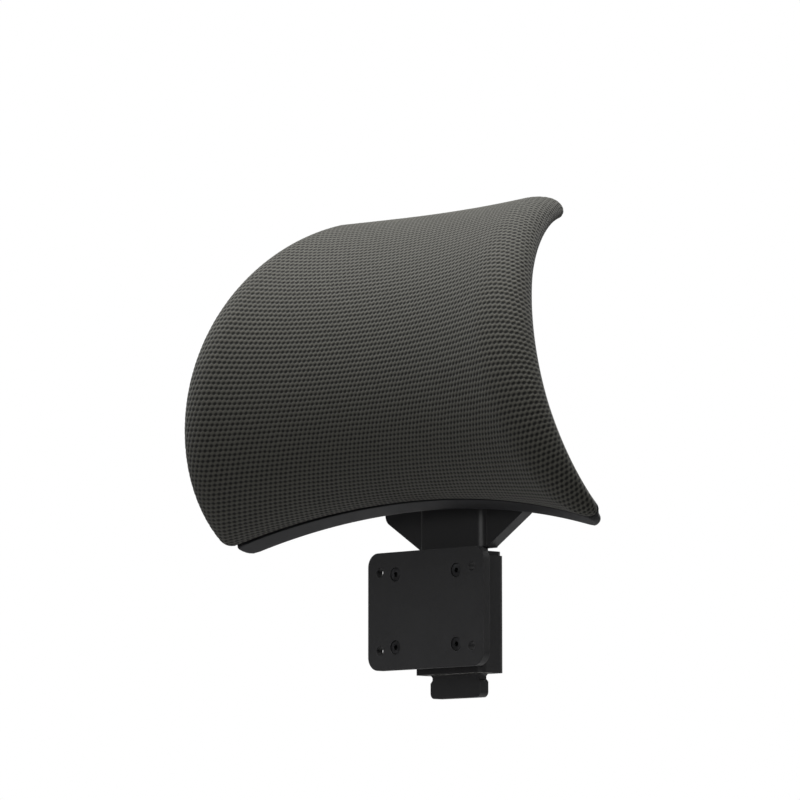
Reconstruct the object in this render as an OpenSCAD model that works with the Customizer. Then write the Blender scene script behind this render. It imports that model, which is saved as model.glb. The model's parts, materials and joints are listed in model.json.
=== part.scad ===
// Height- and tilt-adjustable headrest for a mesh-back task chair.
// X is the sitter's left-to-right line, -Y faces the sitter's head, +Z is up.  The origin is the
// centre of the four chair bolts on the front face of the mount bracket, which rests on the back
// of the chair's upper frame.  The pad is drawn at its lowest height and at its middle tilt.

/* [Pad] */
// Overall width of the pad at its lower corners
pad_w_bottom = 380; // [368:2:392]
// Overall width of the pad at mid-height
pad_w_mid = 340; // [338:2:340]
// Overall width that the sides run in to at the height of the top edge
pad_w_top = 192; // [192:2:194]
// Radius of the pad's mid-surface in the vertical centre plane
pad_r = 112; // [111:1:112]
// Radius of the pad's hollow in plan, across the sitter's head
plan_r = 670; // [620:10:760]
// Angle from the foremost line of the pad up to its top edge
top_angle = 84; // [83:1:85]
// Angle from the foremost line of the pad down to its bottom edge
bottom_angle = 55; // [54:1:56]
// Thickness of the knitted cover
cover_t = 1.8; // [1.2:0.1:2]
// Thickness of the moulded carrier pan
pan_t = 3; // [2.5:0.1:3]
// Wall of the rear shell
shell_t = 3; // [2.5:0.1:3.2]
// How far the rear shell stays inside the edge of the cover
shell_inset = 8; // [6:1:12]

/* [Hinge] */
// Height of the tilt axis above the chair bolts
axis_z = 115; // [113:0.5:117]
// Radius of the hinge pin
pin_r = 5; // [4.5:0.1:5.2]
// Half-width of the pad bracket over its two ears
ear_x = 36; // [34:0.5:38]
// Outer radius of the yoke's knuckles
knuckle_r = 13; // [12:0.5:14]
// Half-width of the yoke over its two knuckles
yoke_x = 70; // [66:1:74]

/* [Stem] */
// Width of the steel stem bar
bar_w = 50; // [48:0.5:51]
// Thickness of the stem bar
bar_t = 8; // [7:0.5:8]
// Height adjustment travel
travel = 60; // [40:10:60]
// Pitch of the detent notches in the bar's edges
notch_pitch = 10; // [10:10:20]
// Height of the bar's lower end below the chair bolts
bar_drop = 62; // [58:1:66]

/* [Mount] */
// Spacing of the chair bolts across the chair
bolt_x = 92; // [88:1:94]
// Spacing of the chair bolts up the chair
bolt_z = 56; // [50:1:60]
// Radius of the chair bolt holes, for M6
bolt_r = 3.3; // [3.2:0.1:3.5]
// Thickness of the mount plate
plate_t = 6; // [5:0.5:7]

/* [Hidden] */

$fn = 48;
spool_fn = 180;
plan_fn = 720;
fit = 0.3;         // gap between faces that slide past each other
slack = 0.2;       // gap between layers of one body
run = 0.05;        // radial clearance of a running pin
beyond = 1;        // overlap that keeps a cut clear of a face

// Pad.  The front and the rear face are two spools, surfaces of revolution about X-parallel
// axes, whose centres are a little apart, so that the pad is thick in the middle and thin at
// its edges.
mid_y = 64;
mid_z = 167;
front_c = [mid_y - 20, mid_z + 5.5];
rear_c = [mid_y + 13, mid_z - 3.3];
front_r = pad_r + 1.7;                   // front of the cover
hem_r = pad_r + 3.2;                     // back of the cover's hem
hem_t = 1.3;
pan_back_r = hem_r + hem_t + slack;
pan_front_r = pan_back_r + pan_t;
foam_back_r = pan_front_r + slack;
shell_front_r = hem_r - fit;
shell_back_r = shell_front_r - shell_t;
hem_w = 16;                              // width of the hem folded over the pan's edge
reach = 400;                             // half-size of the cutting solids
side_steps = 10;

// Half-width of the pad at an angle up from its foremost line: a parabola through the widths at
// the top, the middle and the bottom.
bulge = ((pad_w_mid - pad_w_top) / 2 / top_angle - (pad_w_bottom - pad_w_mid) / 2 / bottom_angle)
    / (top_angle + bottom_angle);
lean = (pad_w_bottom - pad_w_mid) / 2 / bottom_angle + bulge * bottom_angle;
function half_w(a) = pad_w_mid / 2 - lean * a - bulge * a * a;
// Radius of the mid-surface at a distance from the centre plane.
function spool_at(x) = pad_r + plan_r - sqrt(plan_r * plan_r - x * x);
function side_point(a, inset) =
    [half_w(a) - inset, mid_z + spool_at(half_w(a)) * sin(a)];
// Angle about the rear spool's axis of the hem's point at an angle about the mid axis.
function hem_angle(a) =
    let (o = [mid_y, mid_z] - rear_c,
        d = [-cos(a), sin(a)],
        b = o * d,
        p = o + d * (sqrt(b * b - o * o + hem_r * hem_r) - b))
    atan2(p[1], -p[0]);

// Hinge and stem.
stem_y = 34;
pivot = [stem_y, axis_z];
knuckle_in = ear_x + 1.6;                // inner face of each knuckle
ear_t = 4;
ear_r = 12;
bush_r = pin_r + 1.5;
web_t = 10;                              // thickness of the yoke's plate
socket_lo = 44;
socket_hi = 76;
socket_t = 18;
socket_half = 33;
cap_depth = 3;
well_depth = 15;
well_r = 10;
head_h = 6;
head_r = 8.5;
seat_y = -24;                            // face of the rear shell that the pad bracket sits on
seat_half_x = 40;
seat_half_z = 26;
seat_z = rear_c[1];
bracket_half_z = 24;
screw_r = 2.4;
screw_hole_r = 2.75;
bracket_screw_x = 22;
bracket_screw_z = 16;

// Guide.
plate_w = 116;
plate_h = 84;
plate_corner = 10;
guide_half_x = 34;
guide_y0 = 22;
guide_y1 = 46;
guide_lo = -45;
guide_hi = 38;
liner_h = 14;
liner_t = 2;
channel_x = bar_w / 2 + fit + liner_t;
channel_y = bar_t / 2 + fit + liner_t;
guide_screw_x = 30.4;
guide_screw_z = 26;
detent_z = 12;
notch_d = 2;
notch_half = 3;
spring_t = 0.8;
stop_z = 20;
stop_r = 2.5;
slot_r = 3;

// Points of an arc of a circle.
function arc(c, r, a0, a1, n) =
    [for (i = [0 : n]) c + r * [cos(a0 + (a1 - a0) * i / n), sin(a0 + (a1 - a0) * i / n)]];

// Turns a drawing in the YZ plane into a bar along X, from x0 to x1.
module along_x(x0, x1) {
    translate([x0, 0, 0])
        rotate([90, 0, 90])
            linear_extrude(x1 - x0)
                children();
}

// Turns a drawing in the XZ plane into a plate from y0 back to y1.
module along_y(y0, y1) {
    translate([0, y1, 0])
        rotate([90, 0, 0])
            linear_extrude(y1 - y0)
                children();
}

module rounded_rect(w, h, r) {
    square([w - 2 * r, h], center = true);
    square([w, h - 2 * r], center = true);
    for (x = [-1, 1])
        for (y = [-1, 1])
            translate([x * (w / 2 - r), y * (h / 2 - r)])
                circle(r);
}

// Cylinder along X, from x0 to x1, about a point of the YZ plane.
module rod_x(c, r, x0, x1) {
    translate([x0, c[0], c[1]])
        rotate([0, 90, 0])
            cylinder(r = r, h = x1 - x0);
}

// Cylinder along Y, from y0 to y1.
module rod_y(x, z, r, y0, y1) {
    translate([x, y1, z])
        rotate([90, 0, 0])
            cylinder(r = r, h = y1 - y0);
}

// Solid spool about the X-parallel axis through c, of radius r in the centre plane.
module spool(c, r) {
    translate([0, c[0], c[1]])
        rotate([0, 90, 0])
            rotate_extrude($fn = spool_fn)
                difference() {
                    translate([0, -pad_w_bottom / 2 - beyond])
                        square([r + 45, pad_w_bottom + 2 * beyond]);
                    translate([r + plan_r, 0])
                        circle(plan_r, $fn = plan_fn);
                }
}

// Wedge about the pad's mid axis, from a0 to a1 above the foremost line.
module wedge(a0, a1) {
    along_x(-reach / 2, reach / 2)
        translate([mid_y, mid_z])
            polygon(concat([[0, 0]], arc([0, 0], reach, 180 - a0, 180 - a1, 4)));
}

// Block whose sides follow the pad's outline, seen from the front.
module sides(inset) {
    right = [for (i = [0 : side_steps])
        side_point(-bottom_angle - 10 + (top_angle + bottom_angle + 14) * i / side_steps, inset)];
    left = [for (i = [0 : side_steps]) [-right[side_steps - i][0], right[side_steps - i][1]]];
    along_y(-reach, reach)
        polygon(concat(right, left));
}

// Cylinder that gives the top edge its gentle arch.
module top_arch(inset) {
    arch_r = 285;
    lean_back = 80;
    top = [mid_y, mid_z] + pad_r * [-cos(top_angle), sin(top_angle)];
    translate([0, top[0], top[1]])
        rotate([90 - lean_back, 0, 0])
            translate([0, -arch_r, 0])
                cylinder(r = arch_r - inset, h = 2 * reach, center = true, $fn = 360);
}

// Everything inside the pad's outline, a distance in from its edge.  The arch bounds it at the top.
module outline(inset, a0, a1 = 115) {
    intersection() {
        sides(inset);
        wedge(a0, a1);
        top_arch(inset);
    }
}

inset_angle = 57.3 / pad_r;              // one millimetre along the mid-surface, in degrees

module pad_layer(inset) {
    outline(inset, -bottom_angle + inset * inset_angle);
}

// Block in the pan and its pocket in the foam, behind the bracket screws.
module insert_block(grow) {
    block_y0 = rear_c[0] - pan_front_r - 6;
    translate([-34 - grow, block_y0 - grow, seat_z - 24 - grow])
        cube([68 + 2 * grow, 9 + grow, 48 + 2 * grow]);
}

module bracket_holes(r, y0, y1) {
    for (x = [-1, 1])
        for (z = [-1, 1])
            rod_y(x * bracket_screw_x, seat_z + z * bracket_screw_z, r, y0, y1);
}

shell_screw_x = 118;
shell_screw_z = [-34, 40];
shell_screw_y = rear_c[0] - sqrt(pow(shell_back_r + spool_at(shell_screw_x) - pad_r, 2)
    - pow(shell_screw_z[1], 2));

module shell_screw_rods(r, y0, y1) {
    for (x = [-1, 1])
        for (z = shell_screw_z)
            rod_y(x * shell_screw_x, seat_z + z, r, y0, y1);
}

module foam_cushion() {
    color([0.86, 0.84, 0.76])
        difference() {
            intersection() {
                spool(front_c, front_r - cover_t - slack);
                pad_layer(cover_t + slack);
            }
            spool(rear_c, foam_back_r);
            insert_block(0.5);
            shell_screw_rods(5, -60, 0);
        }
}

module fabric_cover() {
    color([0.27, 0.26, 0.23])
        difference() {
            intersection() {
                spool(front_c, front_r);
                pad_layer(0);
            }
            spool(rear_c, hem_r);
            difference() {
                intersection() {
                    spool(front_c, front_r - cover_t);
                    pad_layer(cover_t);
                }
                spool(rear_c, hem_r + hem_t);
            }
            intersection() {
                spool(rear_c, foam_back_r);
                pad_layer(hem_w);
            }
        }
}

module carrier_pan() {
    color([0.16, 0.16, 0.17])
        difference() {
            union() {
                intersection() {
                    difference() {
                        spool(rear_c, pan_front_r);
                        spool(rear_c, pan_back_r);
                    }
                    pad_layer(cover_t + slack);
                }
                insert_block(0);
                intersection() {
                    shell_screw_rods(4.6, shell_screw_y - 14, 0);
                    difference() {
                        spool(rear_c, pan_front_r + 6);
                        spool(rear_c, pan_back_r);
                    }
                }
            }
            spool(rear_c, pan_back_r);
            bracket_holes(3.5, -60, 0);
            shell_screw_rods(1.6, -60, 0);
        }
}

module pan_inserts() {
    color([0.78, 0.62, 0.3])
        difference() {
            bracket_holes(3.5, rear_c[0] - pan_front_r - 5.5, rear_c[0] - pan_back_r - 0.7);
            bracket_holes(screw_r + 0.1, -60, 0);
        }
}

// Staples that hold the hem to the pan, set along its top, bottom and side edges.
module staple(x, a) {
    crown = 9;
    wire = 0.9;
    sink = 0.08;
    leg = 3.4;
    r = hem_r + spool_at(x) - pad_r + sink;
    translate([x, rear_c[0], rear_c[1]])
        rotate([-a, 0, 0])
            translate([0, -r - wire / 2, 0])
                rotate([0, 0, -asin(x / plan_r)]) {
                    cube([crown, wire, wire], center = true);
                    for (s = [-1, 1])
                        translate([s * (crown - wire) / 2, -leg / 2, 0])
                            cube([wire, leg, wire], center = true);
                }
}

module cover_staples() {
    color([0.72, 0.73, 0.75]) {
        for (x = [-140 : 35 : 140])
            staple(x, hem_angle(5 - bottom_angle));
        for (x = [-60 : 24 : 60])
            staple(x, hem_angle(top_angle - 5 - x * x / 800));
        for (s = [-1, 1])
            for (a = [-30 : 18 : 60])
                staple(s * (half_w(a) - 12), hem_angle(a));
    }
}

// Moulded shell: a thin skin behind the pan, with a flat seat for the pad bracket and a boss
// for each screw, and a thick lip that shows below the cover.
module rear_shell() {
    lip_lo = -bottom_angle - 8;
    lip_hi = -bottom_angle - 0.6;
    lip_front = 3;
    lip_back = 9;
    color([0.12, 0.12, 0.13])
        difference() {
            union() {
                difference() {
                    intersection() {
                        spool(rear_c, shell_front_r);
                        outline(shell_inset + beyond, lip_hi - 3);
                    }
                    difference() {
                        spool(rear_c, shell_back_r);
                        translate([-seat_half_x, -60, seat_z - seat_half_z])
                            cube([2 * seat_half_x, seat_y + 60, 2 * seat_half_z]);
                        shell_screw_rods(7, -60, shell_screw_y + 3);
                    }
                }
                intersection() {
                    difference() {
                        spool([mid_y, mid_z], pad_r + lip_front);
                        spool([mid_y, mid_z], pad_r - lip_back);
                    }
                    outline(shell_inset, lip_lo, lip_hi);
                }
            }
            bracket_holes(screw_hole_r, -60, 0);
            shell_screw_rods(2.1, -60, 0);
        }
}

module shell_screws() {
    color([0.2, 0.2, 0.21]) {
        shell_screw_rods(1.55, shell_screw_y - 9, shell_screw_y + 3);
        difference() {
            shell_screw_rods(3.8, shell_screw_y + 3, shell_screw_y + 5.4);
            for (x = [-1, 1])
                for (z = shell_screw_z)
                    rotate([90, 0, 0])
                        translate([x * shell_screw_x, seat_z + z, -shell_screw_y - 6])
                            cylinder(r = 1.5, h = 1.8, $fn = 6);
        }
    }
}

// Pressed steel bracket that carries the pad on the hinge pin.
module pivot_bracket() {
    y1 = seat_y + ear_t;
    color([0.3, 0.3, 0.31])
        difference() {
            union() {
                along_y(seat_y, y1)
                    translate([0, seat_z])
                        rounded_rect(2 * ear_x, 2 * bracket_half_z, 6);
                for (s = [-1, 1])
                    along_x(s > 0 ? ear_x - ear_t : -ear_x, s > 0 ? ear_x : ear_t - ear_x) {
                        translate(pivot)
                            circle(ear_r);
                        polygon([[seat_y, seat_z - 18], [seat_y, seat_z + 18],
                            [seat_y + 12, seat_z + 18], pivot + ear_r * [cos(48), sin(48)],
                            pivot + ear_r * [cos(232), sin(232)]]);
                    }
            }
            rod_x(pivot, bush_r, -yoke_x, yoke_x);
            bracket_holes(screw_hole_r, -60, 0);
            rod_y(0, seat_z, 9, -60, 0);
        }
}

module bracket_screws() {
    y1 = seat_y + ear_t;
    color([0.55, 0.55, 0.57])
        difference() {
            union() {
                bracket_holes(screw_r, rear_c[0] - pan_front_r - 4, y1 + beyond);
                bracket_holes(4.4, y1, y1 + 4);
            }
            for (x = [-1, 1])
                for (z = [-1, 1])
                    rotate([90, 0, 0])
                        translate([x * bracket_screw_x, seat_z + z * bracket_screw_z, -y1 - 5])
                            cylinder(r = 2.2, h = 3, $fn = 6);
        }
}

module ear_bushing(s) {
    flange_x0 = ear_x - ear_t - 1.5;
    color([0.92, 0.91, 0.86])
        mirror([s > 0 ? 0 : 1, 0, 0])
            difference() {
                union() {
                    rod_x(pivot, bush_r, flange_x0, ear_x);
                    rod_x(pivot, bush_r + 3, flange_x0, ear_x - ear_t);
                }
                rod_x(pivot, pin_r + run, 0, yoke_x);
            }
}

module friction_washer(s) {
    color([0.35, 0.2, 0.14])
        mirror([s > 0 ? 0 : 1, 0, 0])
            difference() {
                rod_x(pivot, ear_r - 0.5, ear_x, knuckle_in - 0.1);
                rod_x(pivot, pin_r + run, 0, yoke_x);
            }
}

module hinge_pin() {
    color([0.7, 0.71, 0.73])
        difference() {
            union() {
                rod_x(pivot, pin_r, -yoke_x + well_depth - head_h, yoke_x - cap_depth - 1);
                rod_x(pivot, head_r, -yoke_x + well_depth - head_h, -yoke_x + well_depth);
            }
            translate([-yoke_x + well_depth - head_h - beyond, pivot[0], pivot[1]])
                rotate([0, 90, 0])
                    cylinder(r = 3.5, h = 4, $fn = 6);
        }
}

module spring_washers() {
    color([0.5, 0.5, 0.52])
        for (i = [0 : 2])
            difference() {
                rod_x(pivot, head_r, yoke_x - well_depth + i * 1.3, yoke_x - well_depth + i * 1.3 + 1);
                rod_x(pivot, pin_r + 0.2, 0, yoke_x);
            }
}

module lock_nut() {
    x0 = yoke_x - well_depth + 3.9;
    color([0.7, 0.71, 0.73])
        difference() {
            translate([x0, pivot[0], pivot[1]])
                rotate([0, 90, 0])
                    cylinder(r = 9.2, h = 6, $fn = 6);
            rod_x(pivot, pin_r + run, 0, yoke_x);
        }
}

module hinge_cap(s) {
    color([0.1, 0.1, 0.11])
        mirror([s > 0 ? 0 : 1, 0, 0])
            difference() {
                union() {
                    rod_x(pivot, knuckle_r, yoke_x + 0.1, yoke_x + 2.5);
                    rod_x(pivot, well_r - 0.2, yoke_x - 2, yoke_x + 0.1);
                }
                rod_x(pivot, well_r - 2, yoke_x - 3, yoke_x + 0.5);
            }
}

// Cast neck: a socket for the stem bar, a wide flared web and two knuckles for the hinge pin.
module yoke() {
    half = yoke_x;
    window_half = knuckle_in;
    corner_r = 8;
    shoulder_z = socket_lo + 28;
    flare_angle = 57;
    rib_lo = socket_lo + 18;
    color([0.13, 0.13, 0.14])
        difference() {
            union() {
                along_y(stem_y - web_t / 2, stem_y + web_t / 2)
                    polygon(concat(
                        [[-socket_half, socket_lo], [socket_half, socket_lo]],
                        arc([half - corner_r, shoulder_z], corner_r, -flare_angle, 0, 6),
                        [[half, axis_z], [-half, axis_z]],
                        arc([corner_r - half, shoulder_z], corner_r, 180, 180 + flare_angle, 6)));
                translate([0, stem_y, (socket_lo + socket_hi) / 2])
                    linear_extrude(socket_hi - socket_lo, center = true)
                        rounded_rect(2 * socket_half, socket_t, 6);
                for (s = [-1, 1])
                    along_y(stem_y, stem_y + socket_t / 2)
                        translate([s * 52, 0])
                            polygon([[-4, rib_lo], [4, rib_lo], [4, axis_z], [-4, axis_z]]);
                rod_x(pivot, knuckle_r, -half, half);
            }
            translate([-window_half, stem_y - 20, axis_z - knuckle_r - 5])
                cube([2 * window_half, 40, 60]);
            rod_x(pivot, pin_r + run, -reach, reach);
            rod_x(pivot, well_r, -half - beyond, -half + well_depth);
            rod_x(pivot, well_r, half - well_depth, half + beyond);
            translate([-bar_w / 2 - 0.1, stem_y - bar_t / 2 - 0.1, socket_lo - beyond])
                cube([bar_w + 0.2, bar_t + 0.2, socket_hi - socket_lo - 4 + beyond]);
            for (x = [-1, 1])
                rod_y(x * 14, 59, screw_hole_r, stem_y, reach);
            for (x = [-1, 1])
                rod_y(x * 14, 59, 4.8, stem_y + socket_t / 2 - 2.6, reach);
        }
}

module yoke_screws() {
    y1 = stem_y + socket_t / 2;
    color([0.3, 0.3, 0.31])
        difference() {
            for (x = [-1, 1]) {
                rod_y(x * 14, 59, screw_r, stem_y - bar_t / 2 + 0.5, y1 - 2);
                rod_y(x * 14, 59, 4.4, y1 - 2.6, y1 + 0.8);
            }
            for (x = [-1, 1])
                rotate([90, 0, 0])
                    translate([x * 14, 59, -y1 - 1])
                        cylinder(r = 1.8, h = 2.4, $fn = 6);
        }
}

// Flat bar with detent notches in both edges and a slot for the stop screw.
module stem_bar() {
    top = socket_hi - 4.5;
    notches = [for (z = [detent_z : -notch_pitch : detent_z - travel]) z];
    color([0.25, 0.25, 0.26])
        difference() {
            along_y(stem_y - bar_t / 2, stem_y + bar_t / 2)
                difference() {
                    translate([0, (top - bar_drop) / 2])
                        rounded_rect(bar_w, top + bar_drop, 4);
                    for (z = notches)
                        for (s = [-1, 1])
                            translate([s * bar_w / 2, z])
                                polygon([[-s * notch_d, -notch_half / 3], [-s * notch_d, notch_half / 3],
                                    [s, notch_half + 1], [s, -notch_half - 1]]);
                    translate([0, stop_z])
                        circle(slot_r);
                    translate([0, stop_z - travel])
                        circle(slot_r);
                    translate([-slot_r, stop_z - travel])
                        square([2 * slot_r, travel]);
                }
            for (x = [-1, 1])
                rod_y(x * 14, 59, screw_r + 0.1, stem_y - 20, stem_y + 20);
        }
}

module guide_screw_rods(r, y0, y1) {
    for (x = [-1, 1])
        for (z = [-1, 1])
            rod_y(x * guide_screw_x, z * guide_screw_z, r, y0, y1);
}

module mount_bracket() {
    color([0.34, 0.34, 0.36])
        difference() {
            along_y(0, plate_t)
                rounded_rect(plate_w, plate_h, plate_corner);
            for (x = [-1, 1])
                for (z = [-1, 1])
                    rod_y(x * bolt_x / 2, z * bolt_z / 2, bolt_r, -beyond, plate_t + beyond);
            guide_screw_rods(screw_hole_r, -beyond, reach);
            guide_screw_rods(5, -beyond, 4.5);
        }
}

// Moulded block that holds the guide off the plate, so that the stem clears the chair's frame.
module guide_spacer() {
    color([0.15, 0.15, 0.16])
        difference() {
            along_y(plate_t, guide_y0)
                translate([0, -2])
                    rounded_rect(2 * guide_half_x - 2, 72, 6);
            guide_screw_rods(screw_hole_r, -beyond, reach);
        }
}

module guide_screws() {
    color([0.55, 0.55, 0.57])
        difference() {
            union() {
                guide_screw_rods(screw_r, 4, guide_y0 + 14);
                guide_screw_rods(4.5, 0.5, 4.5);
            }
            for (x = [-1, 1])
                for (z = [-1, 1])
                    rotate([90, 0, 0])
                        translate([x * guide_screw_x, z * guide_screw_z, -3.5])
                            cylinder(r = 2, h = 3, $fn = 6);
        }
}

module guide_body() {
    mid = (guide_y0 + guide_y1) / 2;
    pocket_half = 11.5;
    color([0.14, 0.14, 0.15])
        difference() {
            translate([0, mid, guide_lo])
                linear_extrude(guide_hi - guide_lo)
                    rounded_rect(2 * guide_half_x, guide_y1 - guide_y0, 5);
            translate([-channel_x - 0.1, stem_y - channel_y - 0.1, guide_lo - beyond])
                cube([2 * channel_x + 0.2, 2 * channel_y + 0.2, guide_hi - guide_lo + 2 * beyond]);
            for (s = [-1, 1])
                translate([s * (channel_x + 1), stem_y, detent_z])
                    cube([6.4, bar_t, 2 * pocket_half], center = true);
            guide_screw_rods(screw_r + 0.1, 0, guide_y0 + 15);
            rod_y(0, stop_z, stop_r + 0.1, stem_y, reach);
            rod_y(0, stop_z, 4.7, guide_y1 - 2.2, reach);
        }
}

module glide_liner(z0) {
    color([0.85, 0.84, 0.8])
        translate([0, stem_y, z0])
            difference() {
                translate([-channel_x, -channel_y, 0])
                    cube([2 * channel_x, 2 * channel_y, liner_h]);
                translate([-bar_w / 2 - fit, -bar_t / 2 - fit, -beyond])
                    cube([bar_w + 2 * fit, bar_t + 2 * fit, liner_h + 2 * beyond]);
            }
}

module guide_bezel() {
    mid = (guide_y0 + guide_y1) / 2;
    color([0.09, 0.09, 0.1])
        difference() {
            translate([0, mid, guide_hi])
                linear_extrude(3)
                    rounded_rect(2 * guide_half_x - 2, guide_y1 - guide_y0 - 2, 5);
            translate([-bar_w / 2 - 2 * fit, stem_y - bar_t / 2 - 2 * fit, guide_hi - beyond])
                cube([bar_w + 4 * fit, bar_t + 4 * fit, 3 + 2 * beyond]);
        }
}

// Leaf spring whose bump rides in the notches of the bar.
module detent_spring(s) {
    leaf_x = bar_w / 2 + fit + 2.6;
    tip_x = bar_w / 2 - notch_d + 0.5;
    half_h = 11;
    color([0.72, 0.74, 0.77])
        mirror([s > 0 ? 0 : 1, 0, 0])
            along_y(stem_y - 3, stem_y + 3)
                translate([0, detent_z])
                    polygon([[leaf_x, -half_h], [leaf_x, -6], [tip_x, 0], [leaf_x, 6],
                        [leaf_x, half_h], [leaf_x + spring_t, half_h], [leaf_x + spring_t, 6],
                        [tip_x + 1.2, 0], [leaf_x + spring_t, -6], [leaf_x + spring_t, -half_h]]);
}

module travel_stop_screw() {
    color([0.55, 0.55, 0.57])
        difference() {
            union() {
                rod_y(0, stop_z, stop_r, stem_y - 2, guide_y1 - 2);
                rod_y(0, stop_z, 4.5, guide_y1 - 2.2, guide_y1 + 1.2);
            }
            rotate([90, 0, 0])
                translate([0, stop_z, -guide_y1 - 2])
                    cylinder(r = 1.8, h = 2.6, $fn = 6);
        }
}

mount_bracket();
guide_spacer();
guide_body();
guide_screws();
guide_bezel();
glide_liner(guide_hi - liner_h - 0.1);  // glide_liner_upper
glide_liner(guide_lo);  // glide_liner_lower
detent_spring(-1);  // detent_spring_left
detent_spring(1);  // detent_spring_right
travel_stop_screw();
stem_bar();
yoke();
yoke_screws();
hinge_pin();
spring_washers();
lock_nut();
hinge_cap(-1);  // hinge_cap_left
hinge_cap(1);  // hinge_cap_right
pivot_bracket();
ear_bushing(-1);  // ear_bushing_left
ear_bushing(1);  // ear_bushing_right
friction_washer(-1);  // friction_washer_left
friction_washer(1);  // friction_washer_right
bracket_screws();
carrier_pan();
pan_inserts();
foam_cushion();
fabric_cover();
cover_staples();
rear_shell();
shell_screws();
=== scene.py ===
"""Looks of a height- and tilt-adjustable headrest: knitted pad, rear shell, materials, light, camera."""

import json
import math

import bmesh
import bpy
import numpy as np
from mathutils import Matrix, Vector


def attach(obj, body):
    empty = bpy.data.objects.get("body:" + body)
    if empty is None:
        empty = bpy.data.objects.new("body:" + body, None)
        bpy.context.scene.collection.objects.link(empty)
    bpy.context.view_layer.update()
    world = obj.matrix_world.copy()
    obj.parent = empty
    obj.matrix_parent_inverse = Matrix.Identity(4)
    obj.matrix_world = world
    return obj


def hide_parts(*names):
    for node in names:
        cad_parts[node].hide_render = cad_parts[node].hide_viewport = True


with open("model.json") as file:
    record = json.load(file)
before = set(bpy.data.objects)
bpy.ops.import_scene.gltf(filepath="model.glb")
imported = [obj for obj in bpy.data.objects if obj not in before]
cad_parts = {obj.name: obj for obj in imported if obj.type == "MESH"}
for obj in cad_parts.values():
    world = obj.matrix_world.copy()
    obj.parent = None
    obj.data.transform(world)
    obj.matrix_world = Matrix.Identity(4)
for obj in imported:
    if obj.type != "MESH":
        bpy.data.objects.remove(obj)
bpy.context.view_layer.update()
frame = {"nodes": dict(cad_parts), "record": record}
NODES = frame["nodes"]
MM = 0.001

# ---------------------------------------------------------------- pad shape, in mm
PAD_CENTRE = (64.0, 167.0)  # Y and Z of the X-parallel axis that the pad wraps around
REAR_CENTRE = (77.0, 163.7)  # axis of the hem's back face
HEM_R = 115.2
REAR_PLAN_R = 670.0
WRAP_R = 111.9
WRAP_START = -0.051  # angle of the line v = 0 above the foremost line
PLAN_R = 644.7
PLAN_FLATTEN = -0.57  # how the hollow in plan eases towards the top edge
EDGE_ROLL_BACK = 5.0  # width of the rounding behind the edge
FRONT_SHARE, BACK_SHARE = 0.7, 0.30  # thickness in front of the mid-surface, and behind it
# half widths, heights above and below v = 0, bows and corner radii of the outline
PAD = dict(
    w_top=109.0, w_mid=171.7, w_low=189.9, v_top=147.3, v_low=100.9, side_cubic=0.99,
    arch_top=21.2, arch_power=1.66, arch_low=4.8, r_top=4.5, r_low=9.0,
)
THICK_MID, THICK_TOP, THICK_LOW, THICK_POWER = 31.1, 14.9, 12.9, 2.0
ROLL_MID, ROLL_END = 30.6, 17.4  # width of the rounded side at mid-height and at the ends

# ---------------------------------------------------------------- knit, in mm
COLUMN, ROW = 4.2, 2.85  # pitch of the holes in a row, and of the rows
SMILE = 0.0002  # the rows bow upwards towards the sides
LEAN, SLANT = 0.8, 0.25  # shares of the stronger and the weaker of the two diagonals
WIDEN = 0.000085  # the columns are closer together towards +X than towards -X
HOLE_RIM = -1.2  # level of the lattice where a hole begins


def knit_pattern(uv):
    """Rows and columns, counted in holes, at a place on the fabric in mm."""
    u, v = uv[..., 0], uv[..., 1]
    return np.stack([u / COLUMN + WIDEN * u * u, (v - SMILE * u * u) / ROW], -1)


def resample(path, n):
    """The same path with n points, evenly spaced."""
    step = np.r_[0, np.cumsum(np.hypot(*np.diff(path, axis=0).T))]
    t = np.linspace(0, step[-1], n)
    return np.c_[np.interp(t, step, path[:, 0]), np.interp(t, step, path[:, 1])]


def fillet(before, after, radius):
    """Rounds the corner where one path ends and the next starts; returns both cut paths and the arc."""
    corner = before[-1]
    t1 = before[-2] - corner
    t2 = after[1] - corner
    t1, t2 = t1 / np.hypot(*t1), t2 / np.hypot(*t2)
    angle = math.acos(max(-1.0, min(1.0, float(t1 @ t2))))
    back = radius / math.tan(angle / 2)
    d = np.r_[0, np.cumsum(np.hypot(*np.diff(before, axis=0).T))]
    at = d[-1] - back
    first = np.vstack([before[d < at], [np.interp(at, d, before[:, 0]), np.interp(at, d, before[:, 1])]])
    d = np.r_[0, np.cumsum(np.hypot(*np.diff(after, axis=0).T))]
    last = np.vstack([[np.interp(back, d, after[:, 0]), np.interp(back, d, after[:, 1])], after[d > back]])
    s = np.linspace(0, 1, 26)[1:-1, None]
    w = math.sin(angle / 2)
    arc = (1 - s) ** 2 * first[-1] + 2 * w * s * (1 - s) * corner + s**2 * last[0]
    return first, arc / ((1 - s) ** 2 + 2 * w * s * (1 - s) + s**2), last


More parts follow.
